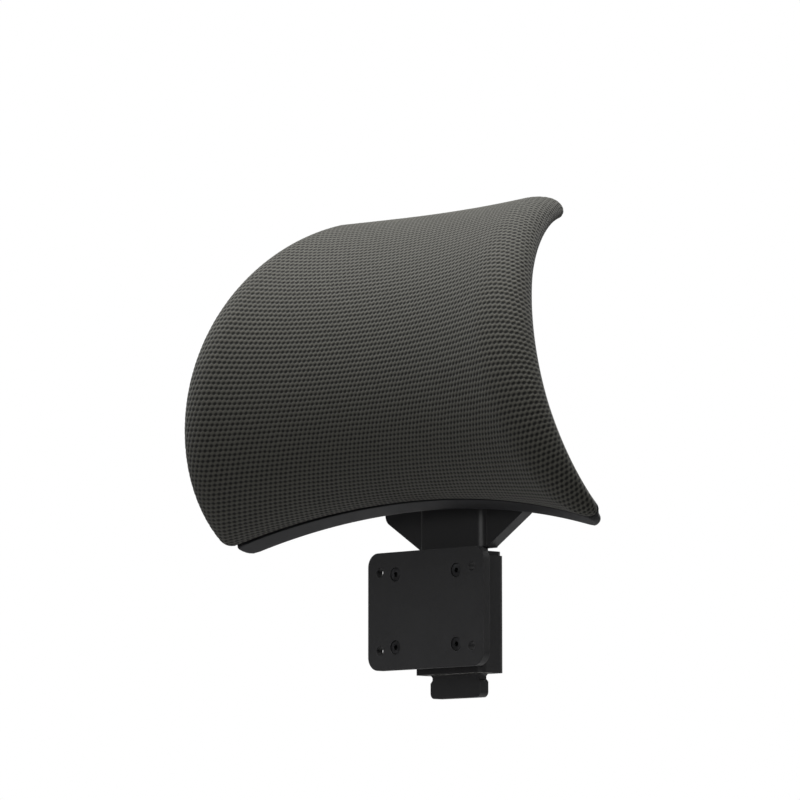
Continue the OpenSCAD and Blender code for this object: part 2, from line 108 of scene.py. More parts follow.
def outline_sides(p, n=400):
    """The outline as four paths in (u, v): low and top run left to right, left and right run upwards."""
    m = np.array([[1, -p["v_low"], p["v_low"] ** 2], [1, 0, 0], [1, p["v_top"], p["v_top"] ** 2]])
    c = np.linalg.solve(m, [p["w_low"], p["w_mid"], p["w_top"]])
    v = np.linspace(-p["v_low"], p["v_top"], 500)
    cubic = p["side_cubic"] * v * (v + p["v_low"]) * (v - p["v_top"]) / 4e5
    side = np.c_[c[0] + c[1] * v + c[2] * v * v + cubic, v]
    u = np.linspace(p["w_top"], 0, 300)
    top = np.c_[u, p["v_top"] + p["arch_top"] * (1 - (u / p["w_top"]) ** p["arch_power"])]
    u = np.linspace(0, p["w_low"], 300)
    low = np.c_[u, -p["v_low"] + p["arch_low"] * (1 - (u / p["w_low"]) ** 2)]
    low, arc_low, side = fillet(low, side, p["r_low"])
    side, arc_top, top = fillet(side, top, p["r_top"])
    i, j = len(arc_low) // 2, len(arc_top) // 2
    low = np.vstack([low, arc_low[: i + 1]])
    right = np.vstack([arc_low[i:], side, arc_top[: j + 1]])
    top = np.vstack([arc_top[j:], top])
    flip = np.array([-1, 1])
    low = np.vstack([(low * flip)[::-1], low[1:]])
    top = np.vstack([top, (top * flip)[::-1][1:]])[::-1]
    return resample(low, n), resample(right, n), resample(top, n), resample(right * flip, n)


def coons(sides, a, b):
    """Points inside the outline for parameters a (left to right) and b (low to top)."""
    low, right, top, left = sides

    def at(path, t):
        x = np.linspace(0, 1, len(path))
        return np.stack([np.interp(t, x, path[:, 0]), np.interp(t, x, path[:, 1])], -1)

    a1, b1 = a[..., None], b[..., None]
    corners = (1 - a1) * (1 - b1) * low[0] + a1 * (1 - b1) * low[-1]
    corners = corners + (1 - a1) * b1 * top[0] + a1 * b1 * top[-1]
    return (1 - b1) * at(low, a) + b1 * at(top, a) + (1 - a1) * at(left, b) + a1 * at(right, b) - corners


def edge_distance(uv, sides):
    """Distance of each point to the outline, and the unit direction to its nearest point."""
    low, right, top, left = sides
    loop = np.vstack([low, right[1:], top[::-1][1:], left[::-1][1:-1]])
    nxt = np.roll(loop, -1, axis=0)
    flat = uv.reshape(-1, 2)
    best = np.full(len(flat), 1e9)
    point = np.zeros_like(flat)
    coarse = loop[::4]
    for lo in range(0, len(flat), 4000):
        q = flat[lo : lo + 4000]
        near = ((q[:, None, :] - coarse[None]) ** 2).sum(-1).argmin(1) * 4
        for k in range(-5, 6):
            i = (near + k) % len(loop)
            e = nxt[i] - loop[i]
            t = np.clip(((q - loop[i]) * e).sum(1) / np.maximum((e * e).sum(1), 1e-12), 0, 1)
            c = loop[i] + t[:, None] * e
            d = np.hypot(*(q - c).T)
            better = d < best[lo : lo + 4000]
            best[lo : lo + 4000][better] = d[better]
            point[lo : lo + 4000][better] = c[better]
    way = point - flat
    length = np.maximum(np.hypot(*way.T), 1e-6)[:, None]
    out = (way / length).reshape(uv.shape)
    if uv.ndim == 3:  # on the outline itself the direction is the next point's
        out[0], out[-1] = out[1], out[-2]
        out[:, 0], out[:, -1] = out[:, 1], out[:, -2]
    return best.reshape(uv.shape[:-1]), out


def edge_grid(uv, sides):
    """edge_distance for a whole grid, whose border lies exactly on the outline."""
    d, out = edge_distance(uv, sides)
    d[0] = d[-1] = 0
    d[:, 0] = d[:, -1] = 0
    return d, out


def rounded(d, width):
    """Height of a quarter ellipse, 0 at the edge and 1 from a width inwards."""
    return np.sqrt(1 - np.clip(1 - d / width, 0, 1) ** 2)


def mid_surface(u, v):
    """Point and normal (towards the sitter) of the pad's mid-surface, in mm in the row frame."""
    al = WRAP_START + v / WRAP_R
    k = (1 + PLAN_FLATTEN * np.clip(v / PAD["v_top"], 0, 1.3) ** 2) / PLAN_R
    drop = (1 - np.cos(k * u)) / k
    n = np.stack([-np.sin(k * u), -np.cos(al) * np.cos(k * u), np.sin(al) * np.cos(k * u)], -1)
    y = PAD_CENTRE[0] - np.cos(al) * (WRAP_R + drop)
    z = PAD_CENTRE[1] + np.sin(al) * (WRAP_R + drop)
    return np.stack([np.sin(k * u) / k, y, z], -1), n


def depth_to_hem(p, n, offset=0.0):
    """How far the CAD's hem surface lies behind each point, along the normal."""
    t = np.full(p.shape[:-1], 8.0)
    for _ in range(12):
        q = p - n * t[..., None]
        r = np.hypot(q[..., 1] - REAR_CENTRE[0], q[..., 2] - REAR_CENTRE[1])
        x = np.clip(q[..., 0], -200, 200)
        t = t + (r - (HEM_R + offset + REAR_PLAN_R - np.sqrt(REAR_PLAN_R**2 - x**2)))
    return t


def smooth(x, lo, hi):
    """0 below lo, 1 above hi, with a smooth step between them."""
    t = np.clip((x - lo) / (hi - lo), 0, 1)
    return t * t * (3 - 2 * t)


def thickness(v):
    """Thickness of the pad and width of its rounded side, at a height."""
    f = np.clip(np.where(v > 0, v / (PAD["v_top"] + PAD["arch_top"]), -v / PAD["v_low"]), 0, 1)
    end = np.where(v > 0, THICK_TOP, THICK_LOW)
    return (
        end + (THICK_MID - end) * (1 - f**THICK_POWER),
        ROLL_END + (ROLL_MID - ROLL_END) * (1 - f**THICK_POWER),
    )


def even_steps(sides, across, n):
    """Parameters that space the front's points evenly along the middle line, sides included."""
    t = np.linspace(0, 1, 1501)
    t = (np.sign(t - 0.5) * (1 - (1 - np.abs(2 * t - 1)) ** 2) + 1) / 2
    half = np.full_like(t, 0.5)
    uv = coons(sides, t, half) if across else coons(sides, half, t)
    d, _ = edge_distance(uv, sides)
    thick, roll = thickness(uv[:, 1])
    h = FRONT_SHARE * thick * rounded(d, roll)
    p, nrm = mid_surface(uv[:, 0], uv[:, 1])
    p = p + nrm * h[:, None]
    s = np.r_[0, np.cumsum(np.linalg.norm(np.diff(p, axis=0), axis=1))]
    return np.interp(np.linspace(0, s[-1], n), s, t)


def arc_excess(d, roll, h):
    """How much longer the rounded side is than its width, from a distance d in to the roll's end."""
    phi = np.arccos(np.clip(1 - d / roll, 0, 1))
    x, w = np.polynomial.legendre.leggauss(8)
    total = 0
    for xi, wi in zip(x, w):
        a = phi + (np.pi / 2 - phi) * (xi + 1) / 2
        total = total + wi * np.sqrt((roll * np.sin(a)) ** 2 + (h * np.cos(a)) ** 2)
    total = total * (np.pi / 2 - phi) / 2
    return np.where(d < roll, total - (roll - d), 0)


def grid_normals(g):
    """Unit normals of a grid of points."""
    du = np.gradient(g, axis=1)
    dv = np.gradient(g, axis=0)
    n = np.cross(du, dv)
    return n / np.maximum(np.linalg.norm(n, axis=-1, keepdims=True), 1e-9)


def new_mesh(name, verts, faces, uv=None):
    """A smooth-shaded mesh object, with one UV per vertex where they are given."""
    me = bpy.data.meshes.new(name)
    me.from_pydata(verts, [], faces)
    if uv is not None:
        layer = me.uv_layers.new(name="weave")
        index = np.zeros(len(me.loops), np.int32)
        me.loops.foreach_get("vertex_index", index)
        layer.data.foreach_set("uv", uv[index].astype(np.float32).ravel())
    me.polygons.foreach_set("use_smooth", np.ones(len(me.polygons), bool))
    me.update()
    ob = bpy.data.objects.new(name, me)
    bpy.context.scene.collection.objects.link(ob)
    return ob


def closed_from_grids(front, back, every):
    """Vertices and faces of a closed body: a fine front grid, and a back grid that has one line for
    every few of the front's and shares the front's outline."""
    ny, nx = front.shape[:2]
    by, bx = back.shape[:2]
    verts = [front.reshape(-1, 3), back[1:-1, 1:-1].reshape(-1, 3)]
    base = nx * ny
    i = np.arange(ny - 1)[:, None] * nx + np.arange(nx - 1)[None]
    faces = np.stack([i, i + 1, i + nx + 1, i + nx], -1).reshape(-1, 4).tolist()

    def index(r, c):
        if r in (0, by - 1) or c in (0, bx - 1):
            return r * every * nx + c * every
        return base + (r - 1) * (bx - 2) + (c - 1)

    def run(r0, c0, r1, c1):
        """Front vertices from one back-grid corner to the next, along the outline if both are on it."""
        same = (r0 == r1 and r0 in (0, by - 1)) or (c0 == c1 and c0 in (0, bx - 1))
        if not same:
            return [index(r0, c0)]
        sr, sc = np.sign(r1 - r0), np.sign(c1 - c0)
        return [int((r0 * every + sr * k) * nx + c0 * every + sc * k) for k in range(every)]

    for r in range(by - 1):
        for c in range(bx - 1):
            faces.append(
                run(r, c, r + 1, c) + run(r + 1, c, r + 1, c + 1)
                + run(r + 1, c + 1, r, c + 1) + run(r, c + 1, r, c)
            )
    return np.vstack(verts), faces


# ---------------------------------------------------------------- camera
AZIMUTH, ELEVATION, DISTANCE = math.radians(45.7), math.radians(-6.5), 3.5
TARGET = Vector((0, (PAD_CENTRE[0] - WRAP_R * math.cos(WRAP_START)) * MM,
                 (PAD_CENTRE[1] + WRAP_R * math.sin(WRAP_START)) * MM))
SENSOR, LENS = 36.0, 223.65  # mm
SHIFT = (0.02875, -0.028875)  # share of the picture's width
FAR_CLIP = 50.0

back = Vector((
    math.sin(AZIMUTH) * math.cos(ELEVATION), -math.cos(AZIMUTH) * math.cos(ELEVATION), math.sin(ELEVATION),
))
camera = bpy.data.objects.new("camera", bpy.data.cameras.new("camera"))
bpy.context.scene.collection.objects.link(camera)
camera.location = TARGET + back * DISTANCE
camera.rotation_mode = "QUATERNION"
camera.rotation_quaternion = (-back).to_track_quat("-Z", "Y")
camera.data.sensor_width = SENSOR
camera.data.lens = LENS
camera.data.shift_x, camera.data.shift_y = SHIFT
camera.data.clip_end = FAR_CLIP
bpy.context.scene.camera = camera


# ---------------------------------------------------------------- materials
def node(tree, kind, **inputs):
    n = tree.nodes.new("ShaderNode" + kind)
    for k, v in inputs.items():
        if k in n.inputs:
            n.inputs[k].default_value = v
        else:
            setattr(n, k, v)
    return n


def math_node(tree, op, a, b=None, clamp=False):
    n = tree.nodes.new("ShaderNodeMath")
    n.operation = op
    n.use_clamp = clamp
    for i, x in enumerate((a, b)):
        if x is None:
            continue
        if isinstance(x, (int, float)):
            n.inputs[i].default_value = x
        else:
            tree.links.new(x, n.inputs[i])
    return n.outputs[0]


def ramp(tree, value, lo, hi, out_lo=0.0, out_hi=1.0):
    n = tree.nodes.new("ShaderNodeMapRange")
    n.interpolation_type = "SMOOTHSTEP"
    for name, x in (("From Min", lo), ("From Max", hi), ("To Min", out_lo), ("To Max", out_hi)):
        n.inputs[name].default_value = x
    tree.links.new(value, n.inputs["Value"])
    return n.outputs["Result"]


def mix_colour(tree, factor, a, b):
    n = tree.nodes.new("ShaderNodeMix")
    n.data_type = "RGBA"
    for i, x in ((6, a), (7, b)):
        if hasattr(x, "is_linked"):
            tree.links.new(x, n.inputs[i])
        else:
            n.inputs[i].default_value = (*x, 1)
    if isinstance(factor, float):
        n.inputs[0].default_value = factor
    else:
        tree.links.new(factor, n.inputs[0])
    return n.outputs[2]


def noise(tree, vector, scale, detail=3.0, rough=0.5):
    n = node(tree, "TexNoise", Scale=scale, Detail=detail, Roughness=rough)
    tree.links.new(vector, n.inputs["Vector"])
    return n.outputs["Fac"]


def blank(name):
    m = bpy.data.materials.new(name)
    m.use_nodes = True
    tree = m.node_tree
    tree.nodes.clear()
    out = tree.nodes.new("ShaderNodeOutputMaterial")
    shader = tree.nodes.new("ShaderNodeBsdfPrincipled")
    tree.links.new(shader.outputs[0], out.inputs[0])
    coords = tree.nodes.new("ShaderNodeTexCoord")
    return m, tree, shader, coords.outputs["Object"]


def bump(tree, shader, height, distance, strength=1.0, bevel=0.0):
    n = node(tree, "Bump", Strength=strength, Distance=distance)
    tree.links.new(height, n.inputs["Height"])
    if bevel:
        edge = tree.nodes.new("ShaderNodeBevel")
        edge.samples = 4
        edge.inputs["Radius"].default_value = bevel
        tree.links.new(edge.outputs[0], n.inputs["Normal"])
    tree.links.new(n.outputs[0], shader.inputs["Normal"])


def moulded(name, dark, light, rough, grain=2600, grain_depth=0.00004, bevel=0.0006):
    """Moulded plastic: a fine spark-eroded grain, faint flow variation, slightly uneven gloss."""
    m, tree, shader, where = blank(name)
    wide = noise(tree, where, 14, 3)
    fine = noise(tree, where, grain, 2, 0.6)
    tree.links.new(mix_colour(tree, ramp(tree, wide, 0.3, 0.7), dark, light), shader.inputs["Base Color"])
    gloss = ramp(tree, noise(tree, where, 60, 4), 0.25, 0.75, rough - 0.05, rough + 0.06)
    tree.links.new(gloss, shader.inputs["Roughness"])
    bump(tree, shader, fine, grain_depth, 0.7, bevel)
    return m


def powder_coated(name, dark, light, rough, bevel=0.0006):
    """Powder coat on steel: orange peel at about a millimetre, fine speckle, edges rounded in the shading."""
    m, tree, shader, where = blank(name)
    peel = noise(tree, where, 900, 2, 0.4)
    speck = noise(tree, where, 5200, 1)
    colour = mix_colour(tree, ramp(tree, speck, 0.55, 0.7), dark, light)
    tree.links.new(colour, shader.inputs["Base Color"])
    gloss = ramp(tree, noise(tree, where, 40, 4), 0.25, 0.75, rough - 0.06, rough + 0.06)
    tree.links.new(gloss, shader.inputs["Roughness"])
    shader.inputs["Coat Weight"].default_value = 0.15
    shader.inputs["Coat Roughness"].default_value = 0.3
    bump(tree, shader, peel, 0.0001, 0.6, bevel)
    return m


def plated(name, dark, light, rough, bevel=0.0003, streak=(1, 1, 12)):
    """Plated or oiled steel: fine drawing marks, cloudy tone, uneven polish."""
    m, tree, shader, where = blank(name)
    stretch = tree.nodes.new("ShaderNodeMapping")
    stretch.inputs["Scale"].default_value = streak
    tree.links.new(where, stretch.inputs["Vector"])
    lines = noise(tree, stretch.outputs[0], 900, 4, 0.7)
    cloud = noise(tree, where, 90, 4, 0.6)
    tree.links.new(mix_colour(tree, ramp(tree, cloud, 0.3, 0.7), dark, light), shader.inputs["Base Color"])
    tree.links.new(ramp(tree, cloud, 0.2, 0.8, rough - 0.08, rough + 0.1), shader.inputs["Roughness"])
    shader.inputs["Metallic"].default_value = 1.0
    bump(tree, shader, lines, 0.00003, 0.5, bevel)
    return m


YARN_DARK, YARN_LIGHT, YARN_WORN = (0.056, 0.0545, 0.0455), (0.080, 0.078, 0.066), (0.074, 0.072, 0.060)
# painted shade: the knit's holes get a near-black colour for the shade inside them; their depth is real only
# as shallow dents and bump
HOLE_SHADE = (0.0045, 0.0043, 0.0033)


def knit(name):
    """Warp-knitted spacer fabric: staggered rows of small holes between raised yarn loops, the holes darkened
    with painted shade.
    """
    m, tree, shader, where = blank(name)
    uv = tree.nodes.new("ShaderNodeUVMap")
    uv.uv_map = "weave"
    warp = node(tree, "TexNoise", Scale=0.25, Detail=2)
    tree.links.new(uv.outputs[0], warp.inputs["Vector"])
    part = tree.nodes.new("ShaderNodeSeparateXYZ")
    tree.links.new(uv.outputs[0], part.inputs[0])
    wobble = math_node(tree, "MULTIPLY", math_node(tree, "SUBTRACT", warp.outputs["Fac"], 0.5), 0.35)
    u = math_node(tree, "ADD", part.outputs[0], wobble)
    v = math_node(tree, "ADD", part.outputs[1], wobble)
    half = math_node(tree, "MULTIPLY", v, 0.5)
    waves = [(v, 1.0), (math_node(tree, "SUBTRACT", u, half), LEAN), (math_node(tree, "ADD", u, half), SLANT)]
    lattice = 0.0
    for phase, share in waves:
        wave = math_node(tree, "COSINE", math_node(tree, "MULTIPLY", phase, 2 * math.pi))
        lattice = math_node(tree, "ADD", math_node(tree, "MULTIPLY", wave, share), lattice)
    hole = ramp(tree, lattice, HOLE_RIM, 1.3)
    # loops: the yarn's own ply, running across the ridges
    ply = node(tree, "TexNoise", Scale=9.0, Detail=3, Roughness=0.6)
    tree.links.new(uv.outputs[0], ply.inputs["Vector"])
    strands = math_node(tree, "MULTIPLY", ply.outputs["Fac"], 0.6)
    height = math_node(tree, "SUBTRACT", strands, math_node(tree, "MULTIPLY", hole, 1.5))
    wide = noise(tree, where, 9, 3)
    yarn = mix_colour(tree, ramp(tree, ply.outputs["Fac"], 0.3, 0.7), YARN_DARK, YARN_LIGHT)
    yarn = mix_colour(tree, ramp(tree, wide, 0.3, 0.7, 0.0, 0.25), yarn, YARN_WORN)
    # the holes are filled with the painted shade colour, and the yarn between them keeps its own tone
    colour = mix_colour(tree, hole, yarn, HOLE_SHADE)
    tree.links.new(colour, shader.inputs["Base Color"])
    shader.inputs["Roughness"].default_value = 0.82
    shader.inputs["Specular IOR Level"].default_value = 0.25
    shader.inputs["Sheen Weight"].default_value = 0.12
    shader.inputs["Sheen Roughness"].default_value = 0.5
    bump(tree, shader, height, 0.0005, 0.45)
    return m


# one material for each of the record's slots: dark and light tone, roughness, then grain and bevel
M = {
    "cover_fabric": knit("knit_cover"),
    "shell_plastic": moulded("shell_satin", (0.010, 0.010, 0.0115), (0.016, 0.016, 0.018), 0.42),
    "pan_plastic": moulded("pan_moulded", (0.025, 0.025, 0.026), (0.036, 0.036, 0.037), 0.55, 1800),
    "guide_plastic": moulded(
        "guide_textured", (0.013, 0.013, 0.014), (0.02, 0.02, 0.021), 0.5, 1500, 0.00008
    ),
    "bezel_plastic": moulded(
        "bezel_satin", (0.008, 0.008, 0.009), (0.012, 0.012, 0.013), 0.28, 3200, 0.00002
    ),
    "cap_plastic": moulded("cap_satin", (0.009, 0.009, 0.01), (0.014, 0.014, 0.015), 0.4, 2600),
    "acetal": moulded("acetal_natural", (0.72, 0.71, 0.66), (0.82, 0.81, 0.76), 0.36, 1500, 0.00003, 0.0003),
    "yoke_black": powder_coated("yoke_powder", (0.011, 0.011, 0.012), (0.022, 0.022, 0.024), 0.42),
    "bar_black": powder_coated("bar_ecoat", (0.018, 0.018, 0.019), (0.028, 0.028, 0.03), 0.36),
    "bracket_black": powder_coated("bracket_powder", (0.018, 0.018, 0.019), (0.034, 0.034, 0.036), 0.48),
    "pivot_black": powder_coated("pivot_powder", (0.016, 0.016, 0.017), (0.03, 0.03, 0.032), 0.45),
    "spring_steel": plated("spring_strip", (0.42, 0.42, 0.43), (0.6, 0.61, 0.63), 0.3, 0.0002),
    "zinc_steel": plated("zinc_plate", (0.48, 0.49, 0.5), (0.66, 0.67, 0.7), 0.34),
    "black_steel": plated("black_oxide", (0.05, 0.05, 0.052), (0.1, 0.1, 0.105), 0.42),
    "staple_steel": plated("galvanised_wire", (0.45, 0.46, 0.48), (0.62, 0.63, 0.65), 0.4, 0.0002),
    "brass": plated("brass_turned", (0.55, 0.4, 0.16), (0.76, 0.58, 0.28), 0.34, 0.0002),
    "friction_fibre": moulded(
        "friction_fibre", (0.12, 0.065, 0.04), (0.22, 0.12, 0.07), 0.8, 1200, 0.0001, 0.0002
    ),
    "foam": moulded("foam_cut", (0.7, 0.67, 0.55), (0.84, 0.81, 0.7), 0.95, 700, 0.0004, 0.0),
}

for part in frame["record"]["subparts"]:
    mesh = NODES[part["node"]].data
    mesh.materials.clear()
    mesh.materials.append(M[part["material_slot"]])


# ---------------------------------------------------------------- pad
EVERY = 5
CELLS_X, CELLS_Y = ((104, 70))
HOLE_DEPTH = 0.34
HEM_START, HEM_END = (4.5, 8.0), (15.5, 18.0)  # where the back meets the hem, and leaves it for the pan
PAN_SPACE = 5.6  # room for the hem and the pan behind the padding
SWELL_EVERY, SWELL_LIMIT = 10, 1.5
SWELL_FRAMES, SWELL_PRESSURE, SWELL_SMOOTHINGS = 20, 4, 3


def pad_front(sides, a, b):
    uv = coons(sides, a, b)
    d, out = edge_grid(uv, sides)
    thick, roll = thickness(uv[..., 1])
    h = FRONT_SHARE * thick
    p, n = mid_surface(uv[..., 0], uv[..., 1])
    rise = h * rounded(d, roll)
    pattern = uv + out * arc_excess(d, roll, h)[..., None]
    return p + n * rise[..., None], pattern


def pad_back(sides, a, b):
    uv = coons(sides, a, b)
    d, out = edge_grid(uv, sides)
    thick, roll = thickness(uv[..., 1])
    p, n = mid_surface(uv[..., 0], uv[..., 1])
    hem = depth_to_hem(p, n)
    puffed = np.maximum(BACK_SHARE * thick, hem)
    deep = puffed + (hem - puffed) * smooth(d, *HEM_START)
    deep = deep * rounded(d, EDGE_ROLL_BACK)
    inside = depth_to_hem(p, n, PAN_SPACE)
    deep = deep + (inside - deep) * smooth(d, *HEM_END)
    # the weave carries on round the edge: over the front's side, then inwards along the back
    side = arc_excess(0 * d, roll, FRONT_SHARE * thick)
    turned = EDGE_ROLL_BACK + arc_excess(0 * d, EDGE_ROLL_BACK, puffed)
    left = EDGE_ROLL_BACK - d + arc_excess(d, EDGE_ROLL_BACK, puffed)
    return p - n * deep[..., None], uv + out * (d + side + turned - left)[..., None]


def swell(face, back_points):
    """Movement of the front, in mm, when the padding is blown up: a short cloth run, its result read off."""
    ny, nx = face.shape[:2]
    verts, faces = closed_from_grids(face * MM, back_points * MM, 1)
    ob = new_mesh("swelling", verts.tolist(), faces)
    group = ob.vertex_groups.new(name="held")
    held = [i for i in range(nx * ny) if i // nx in (0, ny - 1) or i % nx in (0, nx - 1)]
    group.add(held + list(range(nx * ny, len(verts))), 1.0, "REPLACE")
    cloth = ob.modifiers.new("cloth", "CLOTH")
    cloth.settings.vertex_group_mass = "held"
    cloth.settings.use_pressure = True
    cloth.settings.uniform_pressure_force = SWELL_PRESSURE
    cloth.settings.effector_weights.gravity = 0
    cloth.point_cache.frame_start, cloth.point_cache.frame_end = 1, SWELL_FRAMES
    scene = bpy.context.scene
    for f in range(1, SWELL_FRAMES + 1):
        scene.frame_set(f)
    moved = np.zeros(len(verts) * 3, np.float32)
    dg = bpy.context.evaluated_depsgraph_get()
    ob.evaluated_get(dg).data.vertices.foreach_get("co", moved)
    moved = moved.reshape(-1, 3)[: nx * ny].reshape(ny, nx, 3) / MM - face
    scene.frame_set(1)
    mesh = ob.data
    bpy.data.objects.remove(ob)
    bpy.data.meshes.remove(mesh)
    out = (moved * grid_normals(face)).sum(-1)
    print("swelling: largest", round(float(out.max()), 2), "mean", round(float(out.mean()), 2), "mm")
    for _ in range(SWELL_SMOOTHINGS):
        q = np.pad(out, 1, mode="edge")
        out = (q[:-2, 1:-1] + q[2:, 1:-1] + q[1:-1, :-2] + q[1:-1, 2:] + 2 * out) / 6
    out = SWELL_LIMIT * np.tanh(np.maximum(out, 0) / SWELL_LIMIT)
    out[0] = out[-1] = 0
    out[:, 0] = out[:, -1] = 0
    return out


sides = outline_sides(PAD)
steps_a = even_steps(sides, True, CELLS_X * EVERY + 1)
steps_b = even_steps(sides, False, CELLS_Y * EVERY + 1)
grid_a, grid_b = np.meshgrid(steps_a, steps_b)
front, pattern = pad_front(sides, grid_a, grid_b)
back_a, back_b = np.meshgrid(steps_a[::EVERY], steps_b[::EVERY])
rear, rear_pattern = pad_back(sides, back_a, back_b)

normal = grid_normals(front)
coarse = np.s_[::SWELL_EVERY, ::SWELL_EVERY]
lift = swell(front[coarse], pad_back(sides, grid_a[coarse], grid_b[coarse])[0])
rows = np.linspace(0, lift.shape[0] - 1, front.shape[0])
cols = np.linspace(0, lift.shape[1] - 1, front.shape[1])
lift = np.array([np.interp(cols, np.arange(lift.shape[1]), line) for line in lift])
lift = np.array([np.interp(rows, np.arange(lift.shape[0]), line) for line in lift.T]).T
front = front + normal * lift[..., None]
knit_uv = knit_pattern(pattern)
across, up = 2 * np.pi * knit_uv[..., 0], 2 * np.pi * knit_uv[..., 1]
hole = np.cos(up) + LEAN * np.cos(across - up / 2) + SLANT * np.cos(across + up / 2)
dent = HOLE_DEPTH * smooth(hole, HOLE_RIM, 1.7)
dent[0] = dent[-1] = 0
dent[:, 0] = dent[:, -1] = 0
front = front - normal * dent[..., None]

verts, faces = closed_from_grids(front * MM, rear * MM, EVERY)
uvs = np.zeros((len(verts), 2))
uvs[: pattern[..., 0].size] = knit_uv.reshape(-1, 2)
uvs[pattern[..., 0].size :] = knit_pattern(rear_pattern)[1:-1, 1:-1].reshape(-1, 2)
cover = new_mesh("pad_cover", verts.tolist(), faces, uvs)
cover.data.materials.append(M["cover_fabric"])
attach(cover, "pad")
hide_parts("fabric_cover", "foam_cushion")


# ---------------------------------------------------------------- rear shell
SHELL = dict(PAD, w_top=99.0, w_mid=161.7, w_low=183.0, v_top=137.5, v_low=111.6,
             arch_low=3.9, r_top=9.0, r_low=12.0)
SHELL_GAP, SHELL_WALL = 0.3, 3.0
LIP_FRONT, LIP_BACK = -3.5, 3.8  # depth of the lip's faces behind the pad's mid-surface
LIP_GAP = 0.5  # slot between the cover's bottom edge and the lip
NEAR_ROUND, FAR_ROUND = 1.6, 3.0  # width of the rounding at the shell's edge, front and back
SEAT_Y, SEAT_HALF_X, SEAT_HALF_Z = -24.0, 40.0, 26.0
BOSS_X, BOSS_Z, BOSS_R, BOSS_Y, BOSS_ROOT, BOSS_TAPER = 118.0, (129.7, 203.7), 7.0, 3.0, 3, 0.6
EDGE_STEPS = [0, 0.1, 0.35, 0.8, 1.4, 2.2, 3.2, 4.5, 6.5]  # grid lines close to the edges
LIP_STEPS = (-3, -2, -1.6, -1.3, -1.1, -0.95, -0.8, -0.65, -0.5, -0.2, 0.3, 1, 2, 3.5)  # and along the lip
GRID_STEP = 5


def spread(marks, length, step):
    """Shares of a length at the marks, at the edge steps from both ends, and evenly between them."""
    fixed = sorted(set(EDGE_STEPS + list(marks) + [length - e for e in EDGE_STEPS]))
    filled = []
    for lo, hi in zip(fixed[:-1], fixed[1:]):
        filled += list(np.linspace(lo, hi, max(1, math.ceil((hi - lo) / step)) + 1)[:-1])
    return np.array(filled + [length]) / length


shell_sides = outline_sides(SHELL)
lip = PAD["v_low"] - PAD["arch_low"] + SHELL["arch_low"] - SHELL["v_low"]
lip_steps = [-lip + x for x in LIP_STEPS]
span_v = SHELL["v_top"] + SHELL["arch_top"] + SHELL["v_low"] - SHELL["arch_low"]
a, b = np.meshgrid(spread([], 2 * SHELL["w_mid"], GRID_STEP), spread(lip_steps, span_v, GRID_STEP))
uv = coons(shell_sides, a, b)
d, _ = edge_grid(uv, shell_sides)
above = uv[..., 1] + PAD["v_low"] - PAD["arch_low"] * (1 - (uv[..., 0] / PAD["w_low"]) ** 2)
p, n = mid_surface(uv[..., 0], uv[..., 1])
hem = depth_to_hem(p, n)
near = LIP_FRONT + (hem + SHELL_GAP - LIP_FRONT) * smooth(above, -LIP_GAP - 0.25, -LIP_GAP + 0.25)
far = LIP_BACK + (hem + SHELL_GAP + SHELL_WALL - LIP_BACK) * smooth(above, -2.5, 2.5)
middle = (near + far) / 2
near = middle + (near - middle) * rounded(d, NEAR_ROUND)
far = middle + (far - middle) * rounded(d, FAR_ROUND)
verts, faces = closed_from_grids((p - n * near[..., None]) * MM, (p - n * far[..., None]) * MM, 1)
shell = new_mesh("rear_shell_moulded", verts.tolist(), faces)
shell.data.materials.append(M["shell_plastic"])


def screw_y(offset):
    """Y of the surface that lies an offset in front of the hem, at the shell's four screws."""
    radius = HEM_R + offset + REAR_PLAN_R - math.sqrt(REAR_PLAN_R**2 - BOSS_X**2)
    return REAR_CENTRE[0] - math.sqrt(radius**2 - (max(BOSS_Z) - REAR_CENTRE[1]) ** 2)


def add_block(bm, centre, half):
    """Adds a block with rounded edges."""
    made = bmesh.ops.create_cube(bm, size=1)["verts"]
    bmesh.ops.scale(bm, vec=[2 * h * MM for h in half], verts=made)
    bmesh.ops.translate(bm, vec=[c * MM for c in centre], verts=made)
    edges = list({e for v in made for e in v.link_edges})
    bmesh.ops.bevel(bm, geom=edges, offset=1.5 * MM, segments=3, affect="EDGES", profile=0.5)


def add_boss(bm, x, z, y0, y1, radius=BOSS_R):
    """Adds a slightly tapered boss along Y, with its back rim rounded."""
    turn = Matrix.Translation((x * MM, (y0 + y1) / 2 * MM, z * MM)) @ Matrix.Rotation(math.pi / 2, 4, "X")
    made = bmesh.ops.create_cone(
        bm, cap_ends=True, segments=48, radius1=radius * MM, radius2=(radius + BOSS_TAPER) * MM,
        depth=(y1 - y0) * MM, matrix=turn,
    )["verts"]
    edges = {e for v in made for e in v.link_edges}
    rim = [e for e in edges if all(v.co.y > (y1 - 0.5) * MM for v in e.verts)]
    bmesh.ops.bevel(bm, geom=rim, offset=0.8 * MM, segments=3, affect="EDGES", profile=0.5)


bm = bmesh.new()
bm.from_mesh(shell.data)
wall_y = REAR_CENTRE[0] - HEM_R + SHELL_GAP + 1
add_block(bm, (0, (wall_y + SEAT_Y) / 2, REAR_CENTRE[1]), (SEAT_HALF_X, (SEAT_Y - wall_y) / 2, SEAT_HALF_Z))
back_y = screw_y(-SHELL_GAP - SHELL_WALL)
for z in BOSS_Z:
    for side in (-1, 1):
        add_boss(bm, side * BOSS_X, z, back_y - BOSS_ROOT, back_y + BOSS_Y)
bm.to_mesh(shell.data)
bm.free()
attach(shell, "pad")
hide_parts("rear_shell")


